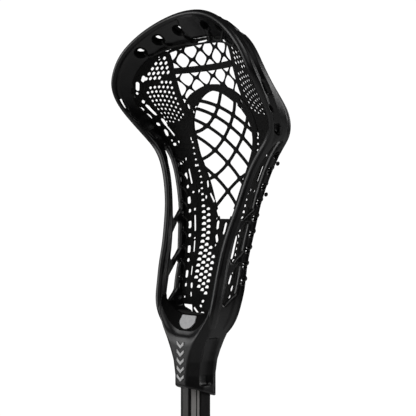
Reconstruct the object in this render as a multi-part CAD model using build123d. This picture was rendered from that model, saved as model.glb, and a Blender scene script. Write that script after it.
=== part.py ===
from build123d import *
import math
import os

# Lacrosse stick: moulded head with a knitted pocket on an octagonal shaft.
# Origin: centre of the flat end face of the butt cap.
# +Z runs up the shaft to the scoop, the open face of the head looks along -Y,
# the pocket bags towards +Y, and the head is symmetric about X = 0.
# All dimensions are in millimetres.

# ---- driving dimensions ----
CAP_END = 4.0              # rubber under the end of the shaft
CAP_HEIGHT = 42.0
CAP_WALL = 2.5
SHAFT_LENGTH = 813.0       # a 32 inch shaft
SHAFT_FLATS = 24.0         # across flats
SHAFT_WALL = 1.4
SHAFT_FIT = 0.15           # clearance round the shaft in the head and the cap
BALL_STOP_Z = 823.0        # lowest point of the front lip of the ball stop

SOCKET_FLATS = 33.0
SOCKET_FRONT_Z = -41.0     # heights below are measured from the ball stop
SOCKET_BACK_Z = -51.5
SOCKET_DEPTH_Z = -5.5      # top of the shaft's bore
SCREW_Z = BALL_STOP_Z - 33.0
SCREW_SHANK = 3.5
SCREW_PAN = 7.2

WALL_THICKNESS = 5.6       # sidewall, near the throat
SCOOP_THICKNESS = 4.6      # wall of the scoop

NET_THICKNESS = 2.6        # knitted pocket
NET_GAP = 0.3              # between two zones of the knit
RAIL_GAP = 4.4             # from the middle of the sidewall to the knit

STRING_DIAMETER = 2.4
PAD_THICKNESS = 2.0
LACING_HOLE = 3.6
LACING_FIRST_Z = 46.0      # lowest lacing hole of a sidewall
LACING_PITCH = 13.0
SCOOP_HOLE = (8.5, 6.0)    # along and across the wall of the scoop
SCOOP_HOLE_SHARES = (0.45, 0.655, 0.85)
MARK_COUNT = 5             # raised chevrons down the throat
MARK_TOP = -6.9            # height of the middle of the top chevron
MARK_PITCH = 6.8
MARK_HALF = 4.2
MARK_HEIGHT = 0.5

# The wall of one side, from the ball stop up to the tip of the scoop.
# Each station holds a point of its front edge and one of its back edge.
WALL = [
    ((29.6, -14.2, 10), (32.8, 15.6, 14)),
    ((33.8, -13.5, 26), (37.0, 16.8, 29)),
    ((35.5, -11.2, 42), (39.0, 18.6, 42)),
    ((36.5, -8.2, 58), (39.3, 20.8, 58)),
    ((37.4, -4.2, 74), (41.0, 23.6, 74)),
    ((40.6, 0.8, 92), (43.8, 26.6, 92)),
    ((45.0, 5.6, 110), (47.2, 29.0, 110)),
    ((51.0, 9.2, 130), (53.6, 32.0, 130)),
    ((59.5, 12.0, 147), (61.5, 34.0, 147)),
    ((70.0, 12.6, 161), (70.5, 33.5, 160)),
    ((79.5, 6.0, 174), (77.5, 29.0, 172)),
    ((86.0, -6.0, 188), (80.5, 18.5, 186)),
    ((88.5, -16.0, 201), (82.0, 5.0, 198)),
    ((87.0, -22.0, 213), (79.5, -2.0, 210)),
    ((81.5, -24.0, 226), (73.0, -3.5, 222)),
    ((72.0, -24.0, 238), (63.5, -2.5, 232)),
    ((58.0, -21.5, 249.5), (51.0, -1.0, 239)),
    ((41.0, -17.5, 259), (36.0, 3.0, 245)),
    ((21.0, -13.5, 266), (18.0, 6.5, 248.5)),
    ((0.0, -12.0, 268.5), (0.0, 8.0, 249.5)),
]
SCOOP_START = 9            # from this station on the wall is the thinner scoop
SCOOP_RIM = 4.0            # how much further out the scoop's back rim stands

# Outlines of the three windows of each sidewall, seen from the side: (y, z).
WINDOWS = [
    [(-2.2, 27), (8.5, 35), (13.5, 61), (1.5, 49)],
    [(4.5, 61), (14.5, 69.5), (18.0, 95), (9.0, 86)],
    [(11.5, 96.5), (20.0, 104), (24.5, 138), (26.5, 162), (20.0, 146), (15.0, 122)],
]

# Throat, from the socket up to the arms of the ball stop:
# height, half width, front y, back y, corner chamfer.
THROAT = [
    (-56.0, 16.5, -16.5, 16.5, 9.6),
    (-32.0, 16.5, -16.5, 16.5, 9.6),
    (-20.0, 18.2, -16.5, 16.5, 9.0),
    (-12.0, 20.6, -16.5, 16.6, 8.0),
    (-3.0, 24.2, -16.5, 16.8, 7.0),
    (6.0, 28.8, -16.3, 17.0, 6.0),
    (18.0, 35.2, -15.6, 17.8, 4.0),
    (31.0, 37.6, -14.8, 18.8, 3.5),
]

# Floor of the ball stop along X = 0: y, height. It is flat out to FLOOR_FLAT.
FLOOR = [(-30.0, -24.0), (-13.0, 1.5), (-5.5, 17.5), (14.0, 16.0), (30.0, 14.5)]
FLOOR_FLAT = 10.0
FLOOR_HALF = 33.0
FLOOR_TOP = 46.0
NOTCH_HALF = 24.0

# Centre line of the pocket: height, y.
POCKET_KEEL = [
    (14, 11), (30, 16), (50, 22), (80, 30), (106, 35), (130, 36.5), (160, 34),
    (185, 28), (206, 19), (224, 13), (246, 8),
]


def lerp_table(table, z):
    """Value of a table of (height, value) pairs at height z."""
    for (z0, v0), (z1, v1) in zip(table, table[1:]):
        if z <= z1:
            return v0 + (v1 - v0) * (z - z0) / (z1 - z0)
    return table[-1][1]


RAIL_X = [(back[2], back[0]) for front, back in WALL]
RAIL_Y = [(back[2], back[1]) for front, back in WALL]


def pocket_point(u, z, depth=0.0):
    """Point of the pocket at share u of its half width, pushed back by depth."""
    half = lerp_table(RAIL_X, z) - RAIL_GAP
    edge = lerp_table(RAIL_Y, z) - 1.5
    keel = lerp_table(POCKET_KEEL, z)
    return (u * half, edge + (keel - edge) * (1 - u * u) + depth, z)


def lifted(shape):
    """A shape made in the head's heights, put in its place on the stick."""
    return Pos(0, 0, BALL_STOP_Z) * shape


def octagon(flats, height):
    """Octagonal prism with flats facing X and Y, standing on z = 0."""
    profile = Rot(0, 0, 22.5) * RegularPolygon(flats / 2, 8, major_radius=False)
    return extrude(profile, height)


def face_of(points):
    return make_face(Polyline(*points, close=True).edges())


# ---- shaft and butt ----
def make_shaft():
    outer = octagon(SHAFT_FLATS, SHAFT_LENGTH)
    inner = octagon(SHAFT_FLATS - 2 * SHAFT_WALL, SHAFT_LENGTH)
    upright = outer.edges().filter_by(Axis.Z)
    tube = fillet(upright, 1.2) - inner
    tube = Pos(0, 0, CAP_END) * tube
    hole = Pos(0, SHAFT_FLATS / 2, SCREW_Z) * Rot(90, 0, 0) * Cylinder(SCREW_SHANK / 2 + 0.15, 8)
    return tube - hole


def make_cap():
    flats = SHAFT_FLATS + 2 * (CAP_WALL + SHAFT_FIT)
    body = octagon(flats, CAP_HEIGHT)
    body = fillet(body.edges().filter_by(Axis.Z), 3.0)
    body = fillet(body.faces().sort_by(Axis.Z)[0].edges(), 2.0)
    body = fillet(body.faces().sort_by(Axis.Z)[-1].edges(), 1.0)
    bore = Pos(0, 0, CAP_END) * octagon(SHAFT_FLATS + 2 * SHAFT_FIT, CAP_HEIGHT)
    body -= bore
    for k in range(4):
        ring = octagon(flats + 1, 1.2) - octagon(flats - 1.2, 1.2)
        body -= Pos(0, 0, 12 + 6 * k) * ring
    return body


# ---- head ----
def wall_sections():
    """Parallelogram sections of one side's wall, from the throat to the tip."""
    past_tip = [[(-x, y, z) for x, y, z in station] for station in WALL[-2:-4:-1]]
    stations = [(Vector(*front), Vector(*back)) for front, back in WALL + past_tip]
    middles = [(front + back) / 2 for front, back in stations]
    faces = []
    for i, (front, back) in enumerate(stations):
        along = middles[min(i + 1, len(middles) - 1)] - middles[max(i - 1, 0)]
        out = (back - front).cross(along).normalized()
        scoop = i >= SCOOP_START
        shift = out * (SCOOP_THICKNESS if scoop else WALL_THICKNESS) / 2
        rim = out * (SCOOP_RIM if scoop else 0)
        corners = [front + shift, back + shift + rim, back - shift, front - shift]
        faces.append(face_of(corners))
    return faces


def make_window_cutter(outline):
    """Prism through both sidewalls, with its corners rounded."""
    profile = make_face(Polyline(*[(0, y, z) for y, z in outline], close=True).edges())
    prism = extrude(profile, 120, dir=(1, 0, 0), both=True)
    along = prism.edges().filter_by(Axis.X)
    return fillet(along, 1.6)


def make_throat():
    """Solid that grows from the octagonal socket into the arms of the ball stop."""
    levels = []
    for z, half, front, back, chamfer_size in THROAT:
        c = chamfer_size
        points = [
            (half - c, front, z), (half, front + c, z), (half, back - c, z),
            (half - c, back, z), (-half + c, back, z), (-half, back - c, z),
            (-half, front + c, z), (-half + c, front, z),
        ]
        levels.append(face_of(points))
    return loft(levels, ruled=True)


def floor_height(x, y):
    """Height of the ball stop's floor: a U across, steep in front and flat behind."""
    bottom = lerp_table(FLOOR, y)
    side = max(abs(x) - FLOOR_FLAT, 0.0) / (FLOOR_HALF - FLOOR_FLAT)
    return bottom + (FLOOR_TOP - bottom) * side ** 2


def make_ball_stop_cut():
    """U-shaped valley that the ball runs down into."""
    across = [FLOOR_HALF, 28.0, 20.0, FLOOR_FLAT]
    across = [-x for x in across] + across[::-1]
    stations = []
    for y, bottom in FLOOR:
        points = [(x, y, floor_height(x, y)) for x in across]
        points += [(FLOOR_HALF, y, 90.0), (-FLOOR_HALF, y, 90.0)]
        stations.append(face_of(points))
    return loft(stations, ruled=True)


def make_back_notch():
    """Sloping cut behind the ball stop, where the end of the pocket is tied."""
    block = Pos(0, 20, 30) * Box(2 * NOTCH_HALF, 40, 60)
    block = fillet(block.edges().filter_by(Axis.Y), 6.0)
    return Pos(0, 14.5, 2) * Rot(17, 0, 0) * Pos(0, 0, -20) * block


def scoop_frame(share):
    """Middle of the scoop's wall and its outward direction at a share of its length."""
    scoop = WALL[13:]
    place = share * (len(scoop) - 1)
    k = min(int(place), len(scoop) - 2)
    rest = place - k
    here = [Vector(*p) for p in scoop[k]]
    there = [Vector(*p) for p in scoop[k + 1]]
    front = here[0] * (1 - rest) + there[0] * rest
    back = here[1] * (1 - rest) + there[1] * rest
    along = (there[0] + there[1] - here[0] - here[1]).normalized()
    across = (back - front).normalized()
    out = across.cross(along).normalized()
    return front * 0.45 + back * 0.55, out, along


def make_scoop_holes():
    """Rectangular string holes through the wall of the scoop, both sides."""
    holes = []
    for share in SCOOP_HOLE_SHARES:
        middle, out, along = scoop_frame(share)
        place = Plane(origin=middle, x_dir=along, z_dir=out)
        hole = place * Box(*SCOOP_HOLE, 20.0)
        holes += [hole, mirror(hole, Plane.YZ)]
    return holes


def make_lacing_holes():
    """Holes for the sidewall strings along the back edge of each sidewall."""
    holes = []
    for k in range(9):
        z = LACING_FIRST_Z + LACING_PITCH * k
        x, y = lerp_table(RAIL_X, z), lerp_table(RAIL_Y, z)
        hole = Pos(x, y - 3.6, z) * Rot(0, 90, 0) * Cylinder(LACING_HOLE / 2, 16)
        holes += [hole, mirror(hole, Plane.YZ)]
    return holes


def make_head():
    half = loft(wall_sections())
    half -= Pos(-200, 0, 150) * Box(400, 400, 400)
    wall = half + mirror(half, Plane.YZ)
    for outline in WINDOWS:
        wall -= make_window_cutter(outline)
    throat = make_throat() - make_ball_stop_cut() - make_back_notch()
    throat -= make_window_cutter(WINDOWS[0])
    head = wall + throat
    socket_cut = Plane(
        origin=(0, 0, (SOCKET_FRONT_Z + SOCKET_BACK_Z) / 2),
        z_dir=(0, SOCKET_FRONT_Z - SOCKET_BACK_Z, SOCKET_FLATS),
    )
    head -= socket_cut * Pos(0, 0, -30) * Box(80, 80, 60)
    bore = octagon(SHAFT_FLATS + 2 * SHAFT_FIT, 60 + SOCKET_DEPTH_Z)
    head -= Pos(0, 0, -60) * bore
    flute = Box(5, 7, 30)
    flute = fillet(flute.edges().filter_by(Axis.X), 3.0)
    for side in (1, -1):
        head -= Pos(side * 18.5, 3.0, -26) * Rot(0, side * 8, 0) * flute
    screw_z = SCREW_Z - BALL_STOP_Z
    head -= Pos(0, 14, screw_z) * Rot(90, 0, 0) * Cylinder(SCREW_SHANK / 2 + 0.25, 10)
    head -= Pos(0, 17, screw_z) * Rot(90, 0, 0) * Cylinder(SCREW_PAN / 2 + 0.4, 4.4)
    for hole in make_scoop_holes() + make_lacing_holes():
        head -= hole
    return lifted(head)


def make_head_screw():
    shank = Pos(0, 12.4, SCREW_Z) * Rot(90, 0, 0) * Cylinder(SCREW_SHANK / 2, 8.0)
    pan = Pos(0, 15.65, SCREW_Z) * Rot(90, 0, 0) * Cylinder(SCREW_PAN / 2, 1.7)
    slot = Pos(0, 16.5, SCREW_Z) * Box(1.0, 1.4, 4.6)
    cross = Pos(0, 16.5, SCREW_Z) * Box(4.6, 1.4, 1.0)
    return shank + pan - slot - cross


# ---- ball stop trim ----
def make_badge():
    """Plain shield on the steep front face of the ball stop."""
    outline = [
        Line((-8.4, 5.5), (8.4, 5.5)),
        Line((8.4, 5.5), (9.4, 0)),
        ThreePointArc((9.4, 0), (6, -4.6), (0, -6.5)),
        ThreePointArc((0, -6.5), (-6, -4.6), (-9.4, 0)),
        Line((-9.4, 0), (-8.4, 5.5)),
    ]
    face_out = Vector(0, -16.0, 7.5).normalized()
    place = Plane(origin=(0, -8.24, 11.65), x_dir=(1, 0, 0), z_dir=face_out)
    plate = extrude(make_face(outline), 1.0)
    return lifted(place * Pos(0, 0, 0.1) * plate)


def make_ball_stop_pad():
    """Thin foam pad on the floor of the ball stop, behind the badge."""
    across = [-20.0, -FLOOR_FLAT, FLOOR_FLAT, 20.0]
    sections = []
    for y in (-4.0, 7.5):
        bottom = [(x, y, floor_height(x, y) + 0.1) for x in across]
        top = [(x, y, z + PAD_THICKNESS) for x, y, z in reversed(bottom)]
        sections.append(face_of(bottom + top))
    return lifted(loft(sections, ruled=True))


def make_throat_marks():
    """Row of plain raised chevrons down the front face of the throat."""
    marks = []
    for k in range(MARK_COUNT):
        z = MARK_TOP - MARK_PITCH * k
        points = [(-MARK_HALF, z + 0.6), (0, z - 2.8), (MARK_HALF, z + 0.6)]
        points += [(MARK_HALF, z + 3.0), (0, z - 0.4), (-MARK_HALF, z + 3.0)]
        outline = face_of([(x, -SOCKET_FLATS / 2, h) for x, h in points])
        marks.append(extrude(outline, MARK_HEIGHT, dir=(0, -1, 0)))
    return lifted(Compound(children=marks))


# ---- pocket ----
# Heights at which the knit's sections are taken.
KNIT_Z = [15, 30, 45, 62, 76, 92, 110, 130, 147, 160, 172, 186, 198, 209, 221, 231, 240, 246]

# Half width of the net of large diamonds, as a share of the pocket's, by height.
LENS = [
    (62, 0.02), (92, 0.30), (130, 0.38), (160, 0.44), (176, 0.47), (190, 0.42), (200, 0.26),
    (206, 0.04),
]
LEG = 0.10                 # width of the band round it, in the same shares
PANEL = [(15, 0.60), (36, 0.68), (92, 0.76), (130, 0.74), (172, 0.80), (246, 0.84)]
FIELD = 0.47               # half width of the upper net


def knit_zone(low, high, left, right, steps=4, depth=0.0, extra=0.0):
    """Closed sheet of the pocket between two heights and two edges, left and right."""
    heights = [low] + [z for z in KNIT_Z if low + 2 < z < high - 2] + [high]
    sections = []
    for z in heights:
        u0, u1 = left(z), right(z)
        shares = [u0 + (u1 - u0) * i / steps for i in range(steps + 1)]
        front = [pocket_point(u, z, depth - extra) for u in shares]
        back = [pocket_point(u, z, depth + NET_THICKNESS + extra) for u in reversed(shares)]
        sections.append(face_of(front + back))
    return loft(sections, ruled=True)


def share_gap(z):
    return NET_GAP / (lerp_table(RAIL_X, z) - RAIL_GAP)


def lens(z):
    return lerp_table(LENS, z)


def leg(z):
    return lens(z) + LEG


def panel(z):
    return lerp_table(PANEL, z)


def make_arch_band():
    """Thick horseshoe band round the net of large diamonds, with two legs."""
    outer = knit_zone(64, 212, lambda z: -leg(z), leg, steps=6)

    def opening(z):
        return lens(z) + share_gap(z)

    inner = knit_zone(63, 206, lambda z: -opening(z), opening, extra=1.0)
    band = outer - inner
    low_half = Pos(0, 0, 60) * Box(400, 400, 12)
    return band - low_half


def panel_start(z):
    """Inner edge of a side panel: outside the band, and above it outside the upper net."""
    return max(leg(z) + 0.005, FIELD + 0.01 if z > 180 else 0)


def make_pocket():
    """Zones of the knit, each by the name of its node."""
    zones = {}
    zones["pocket_center_net"] = knit_zone(
        70, 198, lambda z: -lens(z) + 2 * share_gap(z), lambda z: lens(z) - 2 * share_gap(z)
    )
    zones["pocket_arch_band"] = make_arch_band()
    zones["pocket_upper_net_low"] = knit_zone(212.5, 221, lambda z: -FIELD, lambda z: FIELD)
    zones["pocket_cross_band"] = knit_zone(221.5, 227, lambda z: -FIELD, lambda z: FIELD)
    zones["pocket_upper_net_high"] = knit_zone(227.5, 240, lambda z: -FIELD, lambda z: FIELD)
    zones["pocket_top_band"] = knit_zone(240.5, 245.5, lambda z: -0.9, lambda z: 0.9, 6)
    for side, name in ((-1, "left"), (1, "right")):
        def pair(inner, outer, side=side):
            if side > 0:
                return inner, outer
            return (lambda z: -outer(z)), (lambda z: -inner(z))

        a, b = pair(lambda z: share_gap(z), lambda z: panel(z) - share_gap(z))
        zones[f"pocket_{name}_lower_net"] = knit_zone(15, 65, a, b)
        a, b = pair(lambda z: leg(z) + share_gap(z), lambda z: panel(z) - share_gap(z))
        zones[f"pocket_{name}_middle_net"] = knit_zone(66.5, 160, a, b)
        a, b = pair(panel_start, lambda z: panel(z) - share_gap(z))
        zones[f"pocket_{name}_panel"] = knit_zone(160.5, 240, a, b)
        a, b = pair(panel, lambda z: 0.98)
        zones[f"pocket_{name}_edge"] = knit_zone(38, 240, a, b, 2)
    return zones


# ---- strings ----
def corner_radii(points):
    """Largest arcs that the runs of a string leave room for."""
    radii = []
    for before, here, after in zip(points, points[1:], points[2:]):
        first = Vector(*here) - Vector(*before)
        second = Vector(*after) - Vector(*here)
        turn = math.radians(first.get_angle(second))
        radii.append(0.45 * min(first.length, second.length) / math.tan(turn / 2))
    return radii


def make_string(points):
    """Round string along straight runs joined by arcs."""
    path = FilletPolyline(*points, radius=corner_radii(points))
    section = Plane(origin=path @ 0, z_dir=path % 0) * Circle(STRING_DIAMETER / 2)
    return sweep(section, path=path)


def make_sidewall_string(side):
    """String that ties the knit behind the back edge of one sidewall."""
    points = []
    for k in range(11):
        z = LACING_FIRST_Z - 6.0 + LACING_PITCH * k
        x, y = lerp_table(RAIL_X, z), lerp_table(RAIL_Y, z)
        sway = 0.5 if k % 2 else -0.5
        points.append((side * (x - 1.0 + sway), y + 2.7 - 0.4 * sway, z))
    return lifted(make_string(points))


def make_top_string():
    """String that ties the knit behind the scoop."""
    half = []
    for front, back in WALL[12:]:
        half.append((back[0] - 1.0, back[1] + 3.0, back[2] - 1.0))
    points = [(-x, y, z) for x, y, z in half] + [p for p in reversed(half[:-1])]
    return lifted(make_string(points))


def make_bottom_string():
    """String that closes the pocket behind the ball stop."""
    points = []
    for x in (-21.0, -14.0, -6.0, 6.0, 14.0, 21.0):
        share = (x / 21.0) ** 2
        points.append((x, 15.6 + 1.9 * share, 14.0 + 2.0 * share))
    return lifted(make_string(points))


def main():
    os.makedirs("parts", exist_ok=True)
    nodes = {
        "shaft_tube": make_shaft(),
        "butt_cap": make_cap(),
        "head_frame": make_head(),
        "head_screw": make_head_screw(),
        "ball_stop_badge": make_badge(),
        "ball_stop_pad": make_ball_stop_pad(),
        "throat_marks": make_throat_marks(),
        "left_sidewall_string": make_sidewall_string(-1),
        "right_sidewall_string": make_sidewall_string(1),
        "top_string": make_top_string(),
        "bottom_string": make_bottom_string(),
    }
    for name, zone in make_pocket().items():
        nodes[name] = lifted(zone)
    for name, shape in nodes.items():
        export_step(shape, f"parts/{name}.step")


main()
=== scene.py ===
"""Women's lacrosse stick: moulded head, knitted pocket, lacing and octagonal shaft.

Lengths in the shape functions are millimetres. Heights named z are measured from the
ball stop unless they say otherwise, and lifted() puts a shape in its place on the stick.
"""

import math

import bpy
import numpy as np
from mathutils import Matrix, Vector


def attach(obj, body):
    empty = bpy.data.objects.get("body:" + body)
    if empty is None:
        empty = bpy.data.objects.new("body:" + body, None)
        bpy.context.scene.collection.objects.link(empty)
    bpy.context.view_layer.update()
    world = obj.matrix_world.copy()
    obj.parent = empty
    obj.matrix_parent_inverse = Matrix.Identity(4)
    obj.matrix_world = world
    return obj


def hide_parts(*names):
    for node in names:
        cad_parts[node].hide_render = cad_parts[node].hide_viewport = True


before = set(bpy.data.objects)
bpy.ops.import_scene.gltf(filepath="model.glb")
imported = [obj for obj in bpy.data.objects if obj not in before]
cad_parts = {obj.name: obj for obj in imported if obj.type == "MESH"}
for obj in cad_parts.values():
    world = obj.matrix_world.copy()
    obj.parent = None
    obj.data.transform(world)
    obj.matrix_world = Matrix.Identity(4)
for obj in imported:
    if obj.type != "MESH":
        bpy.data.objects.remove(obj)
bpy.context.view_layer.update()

MM = 0.001
BALL_STOP_Z = 823.0
HEAD = "head_frame_moulding"

# The wall of one side, from the ball stop up to the tip of the scoop: front and back point.
WALL = [
    ((14.0, -6.0, -8), (15.0, 8.0, -6)),
    ((27.4, -12.0, 10), (30.6, 14.4, 12)),
    ((34.0, -13.5, 26), (36.6, 16.6, 28)),
    ((35.5, -11.2, 42), (39.0, 18.6, 42)),
    ((36.5, -8.2, 58), (39.3, 20.8, 58)),
    ((37.4, -4.2, 74), (41.0, 23.6, 74)),
    ((40.6, 0.8, 92), (43.8, 26.6, 92)),
    ((45.0, 5.6, 110), (47.2, 29.0, 110)),
    ((51.0, 9.2, 130), (53.6, 32.0, 130)),
    ((59.5, 12.0, 147), (61.5, 34.0, 147)),
    ((70.0, 12.6, 161), (70.5, 33.5, 160)),
    ((79.5, 6.0, 174), (77.5, 29.0, 172)),
    ((86.0, -6.0, 188), (80.5, 18.5, 186)),
    ((88.5, -16.0, 201), (82.0, 5.0, 198)),
    ((87.0, -22.0, 213), (79.5, -2.0, 210)),
    ((81.5, -24.0, 226), (73.0, -3.5, 222)),
    ((72.0, -24.0, 238), (63.5, -2.5, 232)),
    ((58.0, -21.5, 249.5), (51.0, -1.0, 239)),
    ((41.0, -17.5, 259), (36.0, 3.0, 245)),
    ((21.0, -13.5, 266), (18.0, 6.5, 248.5)),
    ((0.0, -12.0, 268.5), (0.0, 8.0, 249.5)),
]
SCOOP_START = 10
SCOOP_RIM = 4.0

# Outlines of the windows of each sidewall, from the lowest up: distance to the back, height.
WINDOWS = [
    [(-2.2, 27), (8.5, 35), (13.5, 61), (1.5, 49)],
    [(4.5, 61), (14.5, 69.5), (18.0, 95), (9.0, 86)],
    [(11.5, 96.5), (20.0, 104), (24.5, 138), (26.5, 162), (20.0, 146), (15.0, 122)],
]

# Deepest line of the pocket: height, distance to the back.
POCKET_KEEL = [
    (0, 8), (14, 11), (30, 16), (50, 22), (80, 30), (106, 35), (130, 36.5), (160, 34),
    (185, 28), (206, 19), (224, 13), (246, 8), (256, 6),
]


# ---- camera
def placed(name, data):
    made = bpy.data.objects.new(name, data)
    bpy.context.scene.collection.objects.link(made)
    return made


def make_camera():
    azimuth = math.radians(48.0)
    right = Vector((math.cos(azimuth), math.sin(azimuth), 0.0))
    back = Vector((math.sin(azimuth), -math.cos(azimuth), 0.0))
    place = right * 0.0104 + back * 0.935 + Vector((0.0, 0.0, 0.929))
    data = bpy.data.cameras.new("camera")
    data.lens = 97.1
    data.sensor_width = 36.0
    camera = placed("camera", data)
    turn = Matrix((right, Vector((0.0, 0.0, 1.0)), back)).transposed().to_4x4()
    camera.matrix_world = Matrix.Translation(place) @ turn
    bpy.context.scene.camera = camera


make_camera()


# ---- curves and fields
def natural_spline(knots, values):
    """Smooth curve through the values at the knots, as a function of an array."""
    knots = np.asarray(knots, float)
    values = np.asarray(values, float).reshape(len(knots), -1)
    steps = np.diff(knots)
    count = len(knots)
    system = np.eye(count)
    right = np.zeros_like(values)
    for i in range(1, count - 1):
        system[i, i - 1] = steps[i - 1]
        system[i, i] = 2 * (steps[i - 1] + steps[i])
        system[i, i + 1] = steps[i]
        rise = (values[i + 1] - values[i]) / steps[i]
        right[i] = 6 * (rise - (values[i] - values[i - 1]) / steps[i - 1])
    bend = np.linalg.solve(system, right)

    def at(x):
        x = np.asarray(x, float)
        k = np.clip(np.searchsorted(knots, x) - 1, 0, count - 2)
        step = steps[k][:, None]
        a = (knots[k + 1] - x)[:, None] / step
        b = 1 - a
        curve = ((a**3 - a) * bend[k] + (b**3 - b) * bend[k + 1]) * step**2 / 6
        return a * values[k] + b * values[k + 1] + curve

    return at


def smooth_table(pairs):
    """Monotone smooth curve through (height, value) pairs, as a function of an array."""
    x = np.array([p[0] for p in pairs], float)
    y = np.array([p[1] for p in pairs], float)
    step = np.diff(x)
    rise = np.diff(y) / step
    slope = np.concatenate([rise[:1], np.zeros(len(x) - 2), rise[-1:]])
    same = rise[:-1] * rise[1:] > 0
    total = np.where(same, rise[:-1] + rise[1:], 1.0)
    slope[1:-1] = np.where(same, 2 * rise[:-1] * rise[1:] / total, 0.0)

    def at(z):
        z = np.clip(np.asarray(z, float), x[0], x[-1])
        k = np.clip(np.searchsorted(x, z) - 1, 0, len(x) - 2)
        t = (z - x[k]) / step[k]
        h = step[k]
        return (
            y[k] * (2 * t**3 - 3 * t**2 + 1) + y[k + 1] * (3 * t**2 - 2 * t**3)
            + h * slope[k] * (t**3 - 2 * t**2 + t) + h * slope[k + 1] * (t**3 - t**2)
        )

    return at


def ramp(x, low, high):
    """0 below low, 1 above high, smooth between."""
    t = np.clip((x - low) / (high - low), 0, 1)
    return t * t * (3 - 2 * t)


def smooth_max(a, b, k):
    h = np.clip(0.5 + 0.5 * (a - b) / k, 0, 1)
    return b + (a - b) * h + k * h * (1 - h)


def slot_field(x, z, cx, cz, half, radius, angle):
    """Distance outside a slot with round ends; its long side runs at angle degrees."""
    c, s = math.cos(math.radians(angle)), math.sin(math.radians(angle))
    along = (x - cx) * c + (z - cz) * s
    across = -(x - cx) * s + (z - cz) * c
    return np.hypot(along - np.clip(along, -half, half), across) - radius


def nearest_slot(x, z, slots):
    best = np.full(x.shape, 9.0)
    for slot in slots:
        best = np.minimum(best, slot_field(x, z, *slot))
    return best


def polygon_field(y, z, outline):
    """Signed distance to a polygon, negative inside."""
    best = np.full(y.shape, 1e9)
    inside = np.zeros(y.shape, bool)
    for (ay, az), (by, bz) in zip(outline, outline[1:] + outline[:1]):
        ey, ez = by - ay, bz - az
        t = np.clip(((y - ay) * ey + (z - az) * ez) / (ey * ey + ez * ez), 0, 1)
        best = np.minimum(best, np.hypot(y - ay - t * ey, z - az - t * ez))
        crosses = (az > z) != (bz > z)
        side = ey * (z - az) / (ez if abs(ez) > 1e-9 else 1e-9) + ay
        inside ^= crosses & (y < side)
    return np.where(inside, -best, best)


# ---- meshes
def new_object(name, points, faces):
    mesh = bpy.data.meshes.new(name)
    mesh.from_pydata((np.asarray(points, float) * MM).tolist(), [], list(map(tuple, faces)))
    mesh.validate()
    mesh.shade_smooth()
    return placed(name, mesh)


def split_at(uv, field, tris, level):
    """Cuts triangles along the line where the field has this level."""
    field = np.where(abs(field - level) < 0.06, level, field)
    side = np.sign(field - level).astype(int)
    edges = np.stack([tris, np.roll(tris, -1, axis=1)], axis=2)
    crossing = side[edges[:, :, 0]] * side[edges[:, :, 1]] < 0
    low = edges.min(axis=2)
    high = edges.max(axis=2)
    keys = low.astype(np.int64) * len(uv) + high
    cut_keys, back = np.unique(keys[crossing], return_inverse=True)
    a, b = cut_keys // len(uv), cut_keys % len(uv)
    share = (level - field[a]) / (field[b] - field[a])
    new_uv = uv[a] + (uv[b] - uv[a]) * share[:, None]
    number = np.full(crossing.shape, -1)
    number[crossing] = back + len(uv)
    count = crossing.sum(axis=1)
    made = [tris[count == 0]]
    for turn in range(3):
        order = [(turn + j) % 3 for j in range(3)]
        t, n, c = tris[:, order], number[:, order], crossing[:, order]
        two = (count == 2) & c[:, 0] & c[:, 2]
        p, m, q = t[two], n[two, 0], n[two, 2]
        made.append(np.stack([p[:, 0], m, q], axis=1))
        made.append(np.stack([m, p[:, 1], p[:, 2]], axis=1))
        made.append(np.stack([m, p[:, 2], q], axis=1))
        one = (count == 1) & c[:, 1]
        p, m = t[one], n[one, 1]
        made.append(np.stack([p[:, 0], p[:, 1], m], axis=1))
        made.append(np.stack([p[:, 0], m, p[:, 2]], axis=1))
    field = np.concatenate([field, np.full(len(new_uv), level)])
    return np.concatenate([uv, new_uv]), field, np.concatenate(made)


def rounded(depth, radius):
    """Height of a rounded edge at a depth inside the outline, as a share."""
    t = np.clip(depth / radius, 0, 1)
    return np.sqrt(np.clip(1 - (1 - t) ** 2, 0, 1))


def sheet_object(name, us, vs, field, radius, surface, keep_uv=False):
    """Closed shell over the part of a grid where the field is positive.

    surface(u, v) gives points, normals and the thickness to the front and to the back.
    """
    nu, nv = len(us), len(vs)
    u, v = np.meshgrid(us, vs, indexing="ij")
    uv = np.stack([u.ravel(), v.ravel()], axis=1)
    index = np.arange(nu * nv).reshape(nu, nv)
    a, b = index[:-1, :-1].ravel(), index[1:, :-1].ravel()
    c, d = index[1:, 1:].ravel(), index[:-1, 1:].ravel()
    tris = np.concatenate([np.stack([a, b, c], 1), np.stack([a, c, d], 1)])
    depth = field.ravel().astype(float)
    tris = tris[(depth[tris] > 0).any(axis=1)]
    for level in (0.0, 0.18 * radius, 0.55 * radius, radius):
        uv, depth, tris = split_at(uv, depth, tris, level)
        if level == 0.0:
            tris = tris[(depth[tris] >= 0).all(axis=1) & (depth[tris] > 0).any(axis=1)]
    used, tris = np.unique(tris, return_inverse=True)
    tris = tris.reshape(-1, 3)
    uv, depth = uv[used], depth[used]
    points, normals, front, back = surface(uv[:, 0], uv[:, 1])
    height = rounded(depth, radius)[:, None]
    rim = depth <= 0
    behind = np.where(rim, np.arange(len(uv)), len(uv) + np.cumsum(~rim) - 1)
    ahead = points + normals * front[:, None] * height
    after = (points - normals * back[:, None] * height)[~rim]
    all_points = np.concatenate([ahead, after])
    all_tris = np.concatenate([tris, behind[tris][:, ::-1]])
    made = new_object(name, all_points, all_tris)
    if keep_uv:
        layer = made.data.uv_layers.new(name="knit")
        flat = np.concatenate([uv, uv[~rim]]) * MM
        corner = np.zeros(len(made.data.loops), np.int32)
        made.data.loops.foreach_get("vertex_index", corner)
        layer.data.foreach_set("uv", flat[corner].ravel())
    return made


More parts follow.
